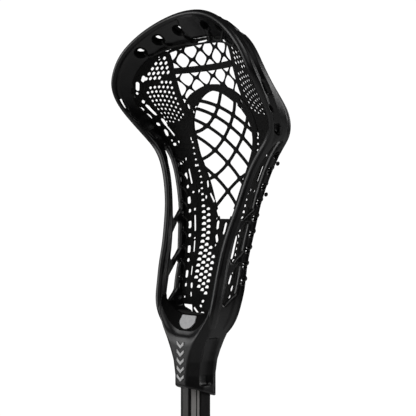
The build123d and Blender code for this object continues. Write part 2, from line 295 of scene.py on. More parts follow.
def tube_object(name, paths, radius, sides=10):
    """Closed round cords along paths of points."""
    points, faces = [], []
    ring = np.linspace(0, 2 * math.pi, sides, endpoint=False)
    for path in paths:
        path = np.asarray(path, float)
        along = np.gradient(path, axis=0)
        along /= np.linalg.norm(along, axis=1)[:, None]
        guide = np.array([0.3, 0.9, 0.2])
        start = sum(len(p) for p in points)
        for k, (here, ahead) in enumerate(zip(path, along)):
            guide = guide - ahead * guide.dot(ahead)
            guide /= np.linalg.norm(guide)
            side = np.cross(ahead, guide)
            end = 0.55 if k in (0, len(path) - 1) else 1.0
            circle = np.cos(ring)[:, None] * guide + np.sin(ring)[:, None] * side
            points.append(here + circle * radius * end)
        for k in range(len(path) - 1):
            for j in range(sides):
                a = start + k * sides + j
                b = start + k * sides + (j + 1) % sides
                faces.append((a, b, b + sides, a + sides))
        last = start + (len(path) - 1) * sides
        faces.append(tuple(range(start, start + sides))[::-1])
        faces.append(tuple(range(last, last + sides)))
    return new_object(name, np.concatenate(points), faces)


def lifted(points):
    return np.asarray(points, float) + np.array([0.0, 0.0, BALL_STOP_Z])


# ---- wall of the head
def wall_curves():
    """Front and back edge of the whole wall, over the length along its middle."""
    left = [((-f[0], f[1], f[2]), (-b[0], b[1], b[2])) for f, b in WALL]
    loop = np.array(left + WALL[-2::-1], float)
    middle = loop.mean(axis=1)
    run = np.concatenate([[0], np.cumsum(np.linalg.norm(np.diff(middle, axis=0), axis=1))])
    run -= run[-1] / 2
    return run, natural_spline(run, loop[:, 0]), natural_spline(run, loop[:, 1])


RUN, FRONT_EDGE, BACK_EDGE = wall_curves()
RUN_OF_STATION = [-r for r in RUN[: len(WALL)]]


def wall_point(s, t):
    front, back = FRONT_EDGE(s), BACK_EDGE(s)
    return front + (back - front) * t[:, None]


def wall_frame(s, t):
    along = wall_point(s + 0.5, t) - wall_point(s - 0.5, t)
    across = BACK_EDGE(s) - FRONT_EDGE(s)
    out = np.cross(along, across)
    return wall_point(s, t), out / np.linalg.norm(out, axis=1)[:, None]


def wall_width(s):
    return np.linalg.norm(BACK_EDGE(s) - FRONT_EDGE(s), axis=1)


SCOOP_RUN = RUN_OF_STATION[SCOOP_START]
SCOOP_HOLE_SHARES = (0.45, 0.655, 0.85)
SCOOP_HOLE = (2.7, 3.0)
SCOOP_MOUTH = 0.52
# How far round each scoop hole the painted shade (darker matt nylon) reaches.
SCOOP_HOLE_SHADE_REACH = 6.4
# Stations of the wall table that the shares run between.
SCOOP_HOLE_FIRST, SCOOP_HOLE_SPAN = 14, 6
SCOOP_HOLE_STATIONS = [
    SCOOP_HOLE_FIRST + share * SCOOP_HOLE_SPAN for share in SCOOP_HOLE_SHARES
]
# How far down the wall the holes lie, as a share of its width.
SCOOP_HOLE_DEPTH = 0.53

# String holes along the back of each sidewall.
LACING_HEIGHTS = [46.0 + 13.0 * k for k in range(9)]
LACING_RADIUS = 1.8
LACING_INSET = 3.6

# The windows' outlines are drawn sharp, then drawn in and rounded by these.
WINDOW_INSET, WINDOW_CORNER = 2.6, 1.8


def run_at_station(place):
    k = int(place)
    return RUN_OF_STATION[k] + (RUN_OF_STATION[k + 1] - RUN_OF_STATION[k]) * (place - k)


def wall_thickness(s, t):
    """Outward and inward half thickness of the wall."""
    w = t * wall_width(s)
    rest = (1 - t) * wall_width(s)
    scoop = 1 - ramp(abs(s), SCOOP_RUN - 14, SCOOP_RUN + 10)
    front_rail = 1 - ramp(w, 6.5, 8.5)
    back_rail = 1 - ramp(rest, 8.5, 10.5)
    side = 2.1 + 0.9 * np.maximum(front_rail, 0.7 * back_rail)
    lip = 1 - ramp(w, 3.0, 5.0)
    shell = 2.2 + 0.4 * lip
    half = side * (1 - scoop) + shell * scoop
    root = ramp(abs(s), RUN_OF_STATION[1] - 6, RUN_OF_STATION[0])
    half = half * (1 - root) + 1.2 * root
    rim = scoop * (SCOOP_RIM * t + 2.4 * ramp(w, 5, 9) * ramp(rest, 2, 8))
    bead = 0.7 * np.exp(-((rest - 2.0) / 1.1) ** 2) * (1 - scoop)
    pad = (1 - ramp(abs(s) + 0.35 * abs(w - 15.0), 13.0, 15.0)) * ramp(w, 2.5, 4.0)
    pad = pad * (1 - ramp(w, 24.0, 25.5))
    rib = np.exp(-((w - 5.2) / 0.9) ** 2) * scoop * 0.45
    return half + rim + bead, half + 1.3 * pad * scoop - rib * (1 - pad)


def wall_surface(s, t):
    points, out = wall_frame(s, t)
    outward, inward = wall_thickness(s, t)
    return lifted(points), out, outward, inward


def rounded_box(x, y, half_x, half_y, radius):
    dx = np.maximum(abs(x) - half_x + radius, 0)
    dy = np.maximum(abs(y) - half_y + radius, 0)
    return np.hypot(dx, dy) - radius


RAIL_X = smooth_table([(b[2], b[0]) for f, b in WALL])
RAIL_Y = smooth_table([(b[2], b[1]) for f, b in WALL])


def inset(outline, amount):
    cy = sum(p[0] for p in outline) / len(outline)
    cz = sum(p[1] for p in outline) / len(outline)
    moved = []
    for y, z in outline:
        far = math.hypot(y - cy, z - cz)
        moved.append((y + (cy - y) * amount / far, z + (cz - z) * amount / far))
    return moved


def window_field(y, z, outline):
    return polygon_field(y, z, inset(outline, WINDOW_INSET)) - WINDOW_CORNER


# Slots near the lip in the flared flanks of the scoop:
# height, distance from the lip, half length, radius.
FLANK_SLOTS = [(199, 6.0, 4.2, 1.1), (184.5, 4.5, 1.0, 1.1), (171, 7.5, 2.2, 1.6)]


def make_wall(looks):
    """Wall of the head; the mouths of the scoop's holes take the second look, darker matt nylon
    as painted shade in these hollows.
    """
    end = RUN[-1] - 0.01
    ss = np.linspace(-end, end, int(2 * end / 0.9))
    ts = np.linspace(-0.03, 1.03, 34)
    s, t = (g.ravel() for g in np.meshgrid(ss, ts, indexing="ij"))
    p = wall_point(s, t)
    width = wall_width(s)
    w = t * width
    depth = np.minimum(w, width - w)
    depth = np.minimum(depth, end - abs(s))
    for outline in WINDOWS:
        hole = window_field(p[:, 1], p[:, 2], outline)
        depth = np.minimum(depth, np.where(abs(s) > SCOOP_RUN - 8, hole, 1e3))
    for place in SCOOP_HOLE_STATIONS:
        run = run_at_station(place)
        hole = rounded_box(abs(s) - run, w - SCOOP_HOLE_DEPTH * width, *SCOOP_HOLE, 1.2)
        depth = np.minimum(depth, SCOOP_MOUTH * hole)
    for z in LACING_HEIGHTS:
        y = RAIL_Y(z) - LACING_INSET
        hole = np.hypot(p[:, 1] - y, p[:, 2] - z) - LACING_RADIUS
        depth = np.minimum(depth, np.where(abs(s) > SCOOP_RUN - 12, hole, 1e3))
    heights = FRONT_EDGE(ss)[:, 2]
    upper = ss > 0
    for z, inner, half, radius in FLANK_SLOTS:
        run = np.interp(-z, -heights[upper], ss[upper])
        hole = slot_field(abs(s), w, run, inner, half, radius, 0)
        depth = np.minimum(depth, hole)
    shape = (len(ss), len(ts))
    wall = sheet_object(HEAD, ss, ts, depth.reshape(shape), 1.9, wall_surface)
    for look in looks:
        wall.data.materials.append(look)
    runs = np.array([side * run_at_station(place) for place in SCOOP_HOLE_STATIONS
                     for side in (-1, 1)])
    holes = lifted(wall_point(runs, np.full(len(runs), SCOOP_HOLE_DEPTH))) * MM
    centers = np.array([face.center for face in wall.data.polygons])
    far = np.linalg.norm(centers[:, None] - holes[None], axis=2).min(axis=1)
    # Faces round the scoop's holes take the darker matt nylon: painted shade in their mouths.
    wall.data.polygons.foreach_set("material_index", (far < SCOOP_HOLE_SHADE_REACH * MM).astype(int))
    return wall


# ---- throat and ball stop
# Height, half width, front, back and how far the corners are cut.
THROAT = [
    (-60.0, 16.5, -16.5, 16.5, 9.6),
    (-32.0, 16.5, -16.5, 16.5, 9.6),
    (-20.0, 18.2, -16.5, 16.5, 9.0),
    (-12.0, 20.6, -16.5, 16.6, 8.0),
    (-3.0, 24.2, -16.5, 16.8, 7.0),
    (6.0, 28.8, -16.3, 17.0, 6.0),
    (18.0, 34.4, -15.0, 17.8, 4.0),
    (27.0, 36.0, -12.8, 18.2, 3.5),
    (36.0, 36.2, -9.8, 18.4, 3.5),
]
# Floor of the ball stop along the middle: distance to the back, height.
FLOOR = [(-30.0, -33.0), (-15.4, -1.0), (-12.8, 1.93), (-5.5, 17.5), (14.0, 16.0), (30.0, 14.5)]
THROAT_TOP = 33.0
SOCKET_FRONT_Z = -41.0
SOCKET_BACK_Z = -51.5
BORE_FLATS = 24.3
BORE_TOP = -5.5
SCREW_Z, SCREW_RECESS, SCREW_HOLE = -33.0, 4.0, 2.0
VOXEL = 0.85


def blocks(spans, step):
    axes = [np.arange(low, high + step, step) for low, high in spans]
    return axes, np.meshgrid(*axes, indexing="ij")


def scaled(field, step):
    """A field divided by its slope, so that it reads as a distance."""
    slope = np.sqrt(sum(g**2 for g in np.gradient(field, step)))
    return field / np.maximum(slope, 0.3)


def floor_height(x, y):
    """Floor of the ball stop: a round bowl across, steep in front and flat behind."""
    behind = ramp(y, -9.0, -2.0)
    bowl = 20.0 * (np.maximum(abs(x) - 5.0, 0) / 26.0) ** 2 * (1 - 0.75 * behind)
    flank = 40.0 * (np.clip(abs(x) - 29.0 - 2.0 * behind, 0, 9) / 6.0) ** 2
    return np.interp(y, [p[0] for p in FLOOR], [p[1] for p in FLOOR]) + bowl + flank


def throat_field(x, y, z, step):
    """Signed distance to the throat's plastic, negative inside."""
    columns = [np.array([row[i] for row in THROAT]) for i in range(5)]
    half, front, back, cut = (np.interp(z, columns[0], c) for c in columns[1:])
    ax = abs(x)
    body = smooth_max(ax - half, smooth_max(front - y, y - back, 1.0), 1.5)
    front_corner = (ax - half + front - y + cut) / math.sqrt(2)
    back_corner = (ax - half + y - back + cut) / math.sqrt(2)
    body = scaled(smooth_max(body, smooth_max(front_corner, back_corner, 1.0), 1.5), step)
    valley = scaled(z - floor_height(x, y), step)
    body = smooth_max(body, valley, 1.6)
    lean = math.radians(17)
    ny = (y - 14.5) * math.cos(lean) + (z - 2) * math.sin(lean)
    nz = -(y - 14.5) * math.sin(lean) + (z - 2) * math.cos(lean)
    notch = smooth_max(ax - 24, smooth_max(-ny, -20 - nz, 2.0), 6.0)
    body = smooth_max(body, -notch, 1.4)
    slope = (SOCKET_BACK_Z - SOCKET_FRONT_Z) / 33.0
    rim = ((SOCKET_FRONT_Z + SOCKET_BACK_Z) / 2 + slope * y - z) / math.hypot(1, slope)
    body = smooth_max(body, rim, 1.0)
    groove = np.hypot(np.maximum(abs(y + 2.8) - 2.8, 0), ax - half - 0.5) - 3.7
    groove = smooth_max(groove, abs(z + 20.0) - 20.0, 3.0)
    body = smooth_max(body, -groove, 0.8)
    window = window_field(y, z, WINDOWS[0])
    body = smooth_max(body, -smooth_max(window, 21.0 - ax, 1.0), 0.8)
    octagon = np.maximum(np.maximum(ax, abs(y)), (ax + abs(y)) / math.sqrt(2)) - BORE_FLATS / 2
    body = np.maximum(body, -np.maximum(octagon, z - BORE_TOP))
    screw = np.hypot(x, z - SCREW_Z)
    body = np.maximum(body, -np.maximum(screw - SCREW_RECESS, 14.8 - y))
    body = np.maximum(body, -np.maximum(screw - SCREW_HOLE, 8.0 - y))
    return smooth_max(body, z - THROAT_TOP, 0.8)


def net_of_field(name, axes, field):
    """Closed quad mesh over the zero level of a field on a block of points."""
    inside = field < 0
    n = np.array(field.shape)
    total = np.zeros(tuple(n - 1) + (3,))
    count = np.zeros(tuple(n - 1))
    corners = [(i, j, k) for i in (0, 1) for j in (0, 1) for k in (0, 1)]

    def view(array, c):
        return array[c[0]: n[0] - 1 + c[0], c[1]: n[1] - 1 + c[1], c[2]: n[2] - 1 + c[2]]

    for a in corners:
        for axis in range(3):
            if a[axis]:
                continue
            b = tuple(v + (1 if i == axis else 0) for i, v in enumerate(a))
            fa, fb = view(field, a), view(field, b)
            cross = (fa < 0) != (fb < 0)
            share = np.where(cross, fa / np.where(cross, fa - fb, 1), 0)
            for i in range(3):
                total[..., i] += np.where(cross, a[i] + (share if i == axis else 0), 0)
            count += cross
    active = count > 0
    number = np.full(active.shape, -1)
    number[active] = np.arange(active.sum())
    cell = np.stack(np.nonzero(active), axis=1)
    step = np.array([ax[1] - ax[0] for ax in axes])
    low = np.array([ax[0] for ax in axes])
    points = (cell + total[active] / count[active][:, None]) * step + low
    quads = []
    for axis in range(3):
        b, c = (axis + 1) % 3, (axis + 2) % 3
        first = [slice(0, m) for m in n]
        second = [slice(0, m) for m in n]
        for other in (b, c):
            first[other] = second[other] = slice(1, n[other] - 1)
        first[axis] = slice(0, n[axis] - 1)
        second[axis] = slice(1, n[axis])
        starts, ends = inside[tuple(first)], inside[tuple(second)]
        for leaving in (True, False):
            found = np.stack(np.nonzero((starts != ends) & (starts == leaving)), axis=1)
            found[:, b] += 1
            found[:, c] += 1
            ring = []
            for db, dc in ((0, 0), (-1, 0), (-1, -1), (0, -1)):
                at = found.copy()
                at[:, b] += db
                at[:, c] += dc
                ring.append(number[at[:, 0], at[:, 1], at[:, 2]])
            ring = np.stack(ring, axis=1)
            quads.append(ring if leaving else ring[:, ::-1])
    return new_object(name, lifted(points), np.concatenate(quads))


def make_throat(looks):
    """Throat block; the bowl behind its lip takes the second of the two looks, darker matt
    nylon: a matt surface, darkened further as painted shade.
    """
    spans = [(-40.0, 40.0), (-20.0, 23.0), (-54.5, 36.0)]
    axes, (x, y, z) = blocks(spans, VOXEL)
    throat = net_of_field("throat_block", axes, throat_field(x, y, z, VOXEL))
    for look in looks:
        throat.data.materials.append(look)
    for face in throat.data.polygons:
        px, py, pz = (v / MM for v in face.center)
        above = pz - BALL_STOP_Z - float(floor_height(px, py))
        # Faces on the bowl behind the lip take the darker matt nylon: a matt surface, darkened
        # as painted shade.
        if py > -11.6 and abs(above) < 1.6 and abs(px) < 33.0:
            face.material_index = 1
    return throat


def joined(main, other):
    bpy.ops.object.select_all(action="DESELECT")
    main.select_set(True)
    other.select_set(True)
    bpy.context.view_layer.objects.active = main
    bpy.ops.object.join()
    return main


# ---- the knitted pocket
RAIL_GAP = 4.4
KEEL = smooth_table(POCKET_KEEL)
# Half widths of the arch of the knit, measured from the middle: height, distance.
ARCH_INNER = smooth_table([
    (60, 0.0), (80, 0.6), (90, 3.6), (97, 5.2), (103, 7.6), (110, 11), (120, 15.2),
    (128, 18.6), (136, 22.4), (145, 26.8), (155, 31.2), (165, 33.2), (172, 33.6),
    (180, 32), (188, 27.5), (195, 20.5), (201, 12), (204, 5.5), (205.5, 0), (206.5, -3),
])
ARCH_OUTER = smooth_table([
    (60, 10), (75, 12), (92, 15), (110, 20), (123, 24), (130, 26.5), (142, 31.5),
    (150, 35), (160, 39), (172, 41), (182, 40.4), (190, 38), (197, 33), (203, 25),
    (207, 15), (209.5, 5), (210.5, -3),
])
# Where the edge strip begins, as a share of the half width.
PANEL_SHARE = smooth_table([
    (15, .60), (36, .68), (92, .76), (130, .74), (172, .80), (246, .84),
])
SCOOP_BACK = smooth_table([(-b[0], b[2]) for f, b in WALL[13:]])
FIELD_HALF = 36.5
SEAM = 0.6
CROSS_BAND = (221.8, 226.0)

# The cords of the wide diamond net, as height, slope and bend at the middle line.
FALLING_CORDS = [
    (121.0, -0.88, -0.005), (145.5, -0.84, -0.005), (165.0, -0.72, -0.005),
    (181.0, -0.58, -0.006), (192.3, -0.42, -0.006),
]
RISING_CORDS = [
    (119.8, 0.85, -0.010), (143.5, 0.78, 0.010), (166.5, 0.92, 0.011), (192.0, 1.05, 0.014),
]
CORD_WIDTH = 3.1
# Pitch of the smaller diamonds, half height of a cell and how round its corners are.
CELL_WIDTH, CELL_HEIGHT = 20.4, 15.0
CELL_HALF_Z = 6.1
CELL_SHAPE = 1.34

# Single holes of the knit on one side: distance from the middle, height, half length
# of the straight part, radius, angle of the long side.
SLOTS = [
    (23.5, 139, 2.2, 1.1, 115), (23.3, 127, 2.0, 1.1, 100), (17.2, 115, 4.0, 0.9, 125),
    (9.0, 102, 2.0, 1.3, 120), (10.0, 97, 0.2, 0.7, 90), (7.6, 91.5, 2.2, 1.6, 95),
    (6.2, 80, 2.0, 1.6, 112), (6.4, 74.2, 0.2, 0.9, 90), (33.0, 194, 1.0, 1.1, 75),
    (25.3, 193, 0.8, 0.8, 25), (30.0, 189.3, 0.4, 0.8, 60), (41.8, 167, 0.6, 0.9, 90),
    (27.5, 52, 3.4, 0.6, 92), (29.0, 73, 4.4, 0.6, 97), (32.0, 93, 6.4, 0.7, 101),
    (43.6, 134, 6.4, 0.8, 113), (64.2, 175, 4.2, 1.1, 120), (67.0, 182.4, 1.6, 1.8, 100),
    (72.0, 193, 3.0, 1.7, 102), (74.0, 200, 0.8, 1.0, 45), (75.4, 207, 0.3, 0.9, 60),
    (73.0, 213, 2.4, 1.4, 72), (66.3, 219, 1.6, 1.3, 58), (25.2, 39.5, 1.2, 1.2, 105),
    (24.0, 32, 1.2, 0.9, 110), (34.2, 105, 0.3, 0.9, 90), (38.2, 120, 0.3, 0.9, 0),
    (30.0, 80, 0.2, 0.7, 0), (50.4, 149.5, 0.4, 0.9, 90), (56.0, 146, 0.4, 1.2, 30),
    (58.3, 165, 0.2, 1.0, 0), (66.5, 166.5, 0.2, 0.9, 0), (64.0, 163, 1.0, 1.2, 0),
    (70.2, 173.5, 1.0, 2.0, 90), (13.0, 18.6, 4.4, 0.8, -32), (5.0, 17.2, 1.2, 1.1, 0),
    (8.8, 23, 0.8, 0.9, -20), (7.6, 27, 0.6, 1.1, 0), (31.5, 29.5, 0.3, 0.8, 0),
    (79.8, 194.3, 0.6, 1.5, 0), (78.6, 188.2, 0.3, 1.9, 90), (74.8, 181.0, 0.6, 1.4, 0),
    (79.6, 205.0, 0.8, 1.1, 90), (77.6, 213.5, 0.8, 1.1, 70), (24.0, 115.6, 0.5, 1.0, 100),
    (32.4, 121, 0.5, 0.8, 100), (38.4, 143.5, 0.4, 0.9, 120),
]
# Holes seen through the windows of the right sidewall.
RIGHT_SLOTS = [
    (15.5, 35.0, 7.0, 1.5, 86), (20.8, 46.5, 2.6, 1.3, 80), (18.0, 73.0, 7.5, 2.2, 86),
]
# First and last column of each row of holes in the patches of the side panel.
PATCH_ROWS = [(0, 2), (0, 5), (0, 6), (0, 6), (0, 6), (0, 6), (0, 6), (1, 6), (2, 6), (4, 6)]
UPPER_PATCH_ROWS = [(0, 1), (0, 2), (0, 3), (0, 4), (2, 5)]
PATCH_ANGLE = 140
LEG_HOLES = smooth_table([
    (40, 21.5), (71, 21.5), (81, 21.6), (92, 23), (102, 24.8), (113, 27.2), (123, 29.6),
    (131, 31.2), (141, 34.8), (150, 38.6), (158, 40.2), (170, 41),
])


def half_width(z):
    return RAIL_X(z) - RAIL_GAP


def pocket_place(x, z):
    half = half_width(z)
    edge = RAIL_Y(z) - 1.5
    u = x / np.maximum(half, 6.0)
    u = np.clip(u, -1.15, 1.15)
    return np.stack([x, edge + (KEEL(z) - edge) * (1 - u * u), z], axis=1)


def pocket_surface(half_thick):
    def surface(x, z):
        across = pocket_place(x + 0.5, z) - pocket_place(x - 0.5, z)
        up = pocket_place(x, z + 0.5) - pocket_place(x, z - 0.5)
        normal = np.cross(across, up)
        normal /= np.linalg.norm(normal, axis=1)[:, None]
        thick = np.full(len(x), half_thick)
        return lifted(pocket_place(x, z)), normal, thick, thick

    return surface


def panel_slots():
    """Curved rows of slanted holes in the two patches of the side panel."""
    slots = []
    for r, (first, last) in enumerate(PATCH_ROWS):
        for c in range(first, last + 1):
            cx = 42.9 + 3.95 * c - 0.05 * r * c
            cz = 214.9 - 4.5 * r + 0.5 * c - 0.1 * c * c + r * (0.29 * c - 0.02 * c * c)
            slots.append((cx, cz, 0.5 - 0.04 * r, 0.86 - 0.02 * r, PATCH_ANGLE))
    for r, (first, last) in enumerate(UPPER_PATCH_ROWS):
        for c in range(first, last + 1):
            cx = 42.6 + 4.85 * c - 0.12 * c * c
            slots.append((cx, 235.2 - 3.95 * r - 0.02 * c * c, 0.85, 0.86, PATCH_ANGLE))
    return slots


def small_drop(x, z, cx, cz, size):
    """Rounded triangle with a flat lower side."""
    dome = np.hypot((x - cx) / 1.15, z - cz + 0.35 * size) - size
    return smooth_max(dome, cz - 0.62 * size - z, 0.5)


def leg_honeycomb(ax, z):
    """Columns of small holes that run down beside the arch and fill the lower end."""
    best = np.full(ax.shape, 9.0)
    # per column: offset from the outer column, lowest and highest height
    for k, (low, high) in enumerate([(44, 169), (35, 106), (33, 72.5), (29.5, 69)]):
        start = 31.5 + (2.55 if k % 2 else 0)
        row = np.round((z - start) / 5.1)
        for dr in (-1, 0, 1):
            cz = start + (row + dr) * 5.1
            cx = LEG_HOLES(cz) - 5.0 * k
            size = 1.95 - 0.75 * ramp(cz, 92, 125)
            hole = small_drop(ax, z, cx, cz, size)
            best = np.minimum(best, np.where((cz > low) & (cz < high), hole, 9.0))
    return best


def rail_slots():
    """Gaps of the knit's edge along the sidewall, a long and a short one in turn."""
    slots = []
    for k in range(6):
        for cz, half, radius in ((49 + 21.3 * k, 1.9, 1.35), (39.7 + 21.3 * k, 0.4, 1.15)):
            if cz < 150:
                cx = float(half_width(cz)) - 2.5
                widening = float(half_width(cz + 4) - half_width(cz - 4))
                slots.append((cx, cz, half, radius, math.degrees(math.atan2(8, widening))))
    return slots


KNIT_SLOTS = panel_slots() + rail_slots()
KNIT_SLOTS += [(cx, cz, half, radius, 180 - angle) for cx, cz, half, radius, angle in SLOTS]


def knit_holes(x, z):
    """Distance to the nearest hole of the dense part of the knit."""
    ax = abs(x)
    return np.minimum(leg_honeycomb(ax, z), nearest_slot(ax, z, KNIT_SLOTS))


def wide_net(x, z):
    """Cords of the large diamonds inside the arch, positive inside a cord."""
    best = np.full(x.shape, -9.0)
    for height, slope, bend in FALLING_CORDS + RISING_CORDS:
        line = z - height - slope * x - bend * x * x
        far = abs(line) / np.sqrt(1 + (slope + 2 * bend * x) ** 2)
        best = smooth_max(best, CORD_WIDTH / 2 - far, 1.8)
    below = 96.8 - z
    best = smooth_max(best, below, 1.5)
    slit = slot_field(x, z, 1.6, 88.6, 3.6, 1.5, 84)
    best = np.minimum(best, slit)
    return np.minimum(best, knit_holes(x, z) + np.where(z < 112, 0, 9))


def diamond_net(x, z, half_x):
    """Smaller diamonds under the scoop, with rounded cells of the given half width."""
    p = (x - 5) / CELL_WIDTH + (z - 209.5) / CELL_HEIGHT
    q = (x - 5) / CELL_WIDTH - (z - 209.5) / CELL_HEIGHT
    p -= np.round(p)
    q -= np.round(q)
    far_x = abs(p + q) * CELL_WIDTH / 2 / half_x
    far_z = abs(p - q) * CELL_HEIGHT / 2 / CELL_HALF_Z
    return ((far_x**CELL_SHAPE + far_z**CELL_SHAPE) ** (1 / CELL_SHAPE) - 1) * 5.0


def band(value, low, high):
    return np.minimum(value - low, high - value)


BAND = 4.2
# Slits under the upper edge of the knit: place across, half length, radius, angle.
SLIT_DROP = 2.7
TOP_SLITS = [(-41.0, 7.0, 0.65, 25), (0.0, 5.5, 0.6, 2), (33.0, 3.2, 0.8, -20)]


def top_line(x):
    """Upper edge of the knit, under the scoop."""
    return SCOOP_BACK(-abs(x)) - 1.2


# An open net covers less of its rectangle than a declared sheet may, so its declared
# width is narrowed to this cover; a band is declared no shorter than the least length.
# The area stays what the pattern gives.
LEAST_COVER = 0.301
LEAST_LENGTH = 0.010


def flat_cut(x, z, depth, surface):
    """Width, length and area in metres of a zone of the knit laid out row by row.

    Every row keeps its own length, and the rows lie as far apart as they do on the
    pocket on average, so the size comes from the pattern and not from the finished piece.
    """
    points = surface(x.ravel(), z.ravel())[0].reshape(x.shape + (3,))
    along, up = np.gradient(points, axis=0), np.gradient(points, axis=1)
    across = np.linalg.norm(along, axis=2)
    rise = np.linalg.norm(np.cross(along, up), axis=2) / across
    cloth = depth > 0
    count = cloth.sum(axis=0)
    rows = count > 0
    pitch = (rise * cloth).sum(axis=0)[rows] / count[rows]
    area = ((across * cloth).sum(axis=0)[rows] * pitch).sum()
    first = cloth.argmax(axis=0)
    last = len(x) - 1 - cloth[::-1].argmax(axis=0)
    order = np.arange(len(x))[:, None]
    spanned = (order >= first) & (order <= last)
    width = (across * spanned).sum(axis=0)[rows].max() * MM
    length, area = max(pitch.sum() * MM, LEAST_LENGTH), area * MM * MM
    return min(width, area / (LEAST_COVER * length)), length, area


def zone(name, x_span, z_span, step, half_thick, radius, inside):
    xs = np.arange(x_span[0], x_span[1] + step, step)
    zs = np.arange(z_span[0], z_span[1] + step, step)
    x, z = np.meshgrid(xs, zs, indexing="ij")
    outline, openings = inside(x, z)
    edge = outline / np.maximum(np.hypot(*np.gradient(outline, step)), 0.4)
    depth = np.minimum(edge + SEAM, openings)
    surface = pocket_surface(half_thick)
    flat = flat_cut(x, z, depth, surface)
    return sheet_object(name, xs, zs, depth, radius, surface, True), flat


def soft_ax(x):
    return np.sqrt(x * x + 4.0) - 2.0


def center_zone(x, z):
    outline = np.minimum(ARCH_INNER(z) - soft_ax(x), z - 70.0)
    return outline, wide_net(x, z)


def arch_zone(x, z):
    ax = soft_ax(x)
    outline = np.minimum(ax - ARCH_INNER(z), ARCH_OUTER(z) - ax)
    outline = np.where(z > 206, ARCH_OUTER(z) - ax, outline)
    return np.minimum(outline, z - 63.0), knit_holes(x, z)


def upper_low_zone(x, z):
    outside_arch = soft_ax(x) - ARCH_OUTER(z)
    outline = np.minimum(outside_arch, FIELD_HALF - abs(x))
    outline = np.minimum(outline, np.minimum(z - 190.0, CROSS_BAND[0] - z))
    return outline, diamond_net(x, z, 6.9)


def cross_zone(x, z):
    outline = np.minimum(band(z, *CROSS_BAND), FIELD_HALF - abs(x))
    return outline, np.full(x.shape, 9.0)


def upper_high_zone(x, z):
    outline = np.minimum(FIELD_HALF - abs(x), top_line(x) - BAND - z)
    return np.minimum(outline, z - CROSS_BAND[1]), diamond_net(x, z, 6.6)


def top_zone(x, z):
    outline = np.minimum(band(z, top_line(x) - BAND, top_line(x)), 62.0 - abs(x))
    slits = [(middle, float(top_line(middle)) - SLIT_DROP, *rest) for middle, *rest in TOP_SLITS]
    return outline, nearest_slot(x, z, slits)


def side_zone(side, low, high, inner):
    """A zone of one side between inner(z) and the edge strip."""
    def inside(x, z):
        ax = side * x
        outline = np.minimum(ax - inner(z), PANEL_SHARE(z) * half_width(z) - ax)
        outline = np.minimum(outline, band(z, low, high))
        outline = np.minimum(outline, top_line(x) - BAND - z)
        holes = knit_holes(x, z)
        for cx, cz, half, radius, angle in RIGHT_SLOTS if side > 0 else []:
            slot = slot_field(x, z, cx, cz, half, radius, angle)
            holes = np.minimum(slot, np.maximum(holes, 1.5 - slot))
        return outline, holes

    return inside


def panel_inner(z):
    return np.maximum(ARCH_OUTER(z), FIELD_HALF * ramp(z, 184, 194))


def lower_inner(z):
    return 0.0 * z


def edge_zone(side):
    def inside(x, z):
        ax = side * x
        reach = 0.9 + 2.6 * ramp(z, 160, 174) * (1 - ramp(z, 226, 238))
        outline = np.minimum(ax - PANEL_SHARE(z) * half_width(z), half_width(z) + reach - ax)
        outline = np.minimum(outline, band(z, 24.0, 240.0))
        return np.minimum(outline, top_line(x) - z), knit_holes(x, z)

    return inside


def make_pocket():
    made = []

    def add(node, *words):
        piece, flat = zone(node + "_knit", *words)
        made.append((piece, node, flat))

    add("pocket_center_net", (-36, 36), (68, 208), 0.85, 0.95, 1.3, center_zone)
    add("pocket_arch_band", (-44, 44), (61, 213), 0.8, 1.1, 1.0, arch_zone)
    add("pocket_upper_net_low", (-39, 39), (188, 223), 0.7, 0.75, 1.1, upper_low_zone)
    add("pocket_cross_band", (-39, 39), (218, 230), 0.85, 1.0, 1.1, cross_zone)
    add("pocket_upper_net_high", (-39, 39), (224, 249), 0.7, 0.75, 1.1, upper_high_zone)
    add("pocket_top_band", (-65, 65), (224, 250), 0.85, 1.0, 1.1, top_zone)
    for side, word in ((-1, "left"), (1, "right")):
        def span(low, high):
            return tuple(sorted((side * low, side * high)))

        add(f"pocket_{word}_lower_net", span(-1.5, 32), (12, 68), 0.62, 0.65, 0.7,
            side_zone(side, 14.0, 63.0, lower_inner))
        add(f"pocket_{word}_middle_net", span(6, 58), (61, 163), 0.7, 0.65, 0.7,
            side_zone(side, 63.0, 160.0, ARCH_OUTER))
        add(f"pocket_{word}_panel", span(30, 70), (158, 246), 0.62, 0.5, 0.6,
            side_zone(side, 160.0, 246.0, panel_inner))
        add(f"pocket_{word}_edge", span(17, 82), (22, 243), 0.7, 0.8, 0.8, edge_zone(side))
    return made


# ---- strings
KNOT_HEIGHTS = (117.0, 142.0)
SIDE_STRING, TOP_STRING, BOTTOM_STRING = 0.85, 0.9, 1.2


def rail_center(z, side):
    """Middle of the string hole at this height of one sidewall."""
    return np.array([side * (float(RAIL_X(z)) - 0.2), float(RAIL_Y(z)) - LACING_INSET, z])


def smooth_path(points, per_run=8):
    points = np.asarray(points, float)
    run = np.concatenate([[0], np.cumsum(np.linalg.norm(np.diff(points, axis=0), axis=1))])
    count = per_run * (len(points) - 1) + 1
    places = np.interp(np.linspace(0, len(points) - 1, count), np.arange(len(points)), run)
    return natural_spline(run, points)(places)


def lacing_path(side):
    """Cord that goes out through each hole, over the back of the rail and in again."""
    points = []
    for z in LACING_HEIGHTS:
        middle = rail_center(z, side)
        inside = middle + np.array([-side * 3.6, 0.0, -0.6])
        outside = middle + np.array([side * 3.3, 0.3, 0.4])
        over = middle + np.array([side * 1.0, 4.5, 3.2])
        net = middle + np.array([-side * 4.4, 3.0, 6.4])
        points += [inside, outside, over, net]
    return smooth_path(points)


def knot_paths(side):
    """Knots that stand off the outside of one sidewall."""
    paths = []
    for z in KNOT_HEIGHTS:
        middle = rail_center(z, side) + np.array([side * 3.0, 3.4, 0.0])
        turn = np.linspace(0, 2.4 * math.pi, 14)
        loop = np.stack([
            np.full(14, side * 1.3), np.cos(turn), np.sin(turn)], axis=1)
        loop[:, 0] += side * 0.35 * np.sin(turn)
        paths.append(middle + loop)
    return paths


